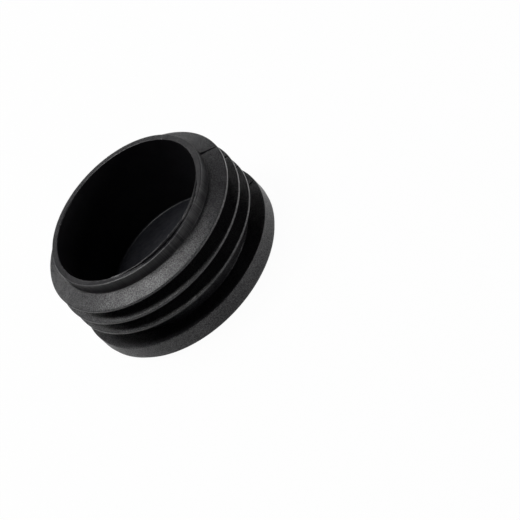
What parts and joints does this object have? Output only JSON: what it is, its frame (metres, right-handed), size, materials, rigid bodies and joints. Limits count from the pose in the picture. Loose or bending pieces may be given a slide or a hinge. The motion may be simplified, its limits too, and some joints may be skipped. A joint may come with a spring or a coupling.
{
  "type": "tube end cap",
  "caption": "Round push-in end cap for a tube: flat head with a soft edge and a hollow insert with barbed grip rings round it.",
  "frame": {"origin": "middle of the head's flat outer face, on the cap's axis", "axes": "+Z along the axis from the head to the open rim, the way the tube leaves; +X towards the mould's witness line"},
  "size_m": [0.05, 0.05, 0.0239],
  "materials": {
    "moulded_plastic": "satin black polyethylene, fine spark-eroded grain on the head and barbs, fine draw marks along the lip"
  },
  "bodies": {
    "root": {"end_cap": "moulded_plastic"}
  },
  "joints": []
}
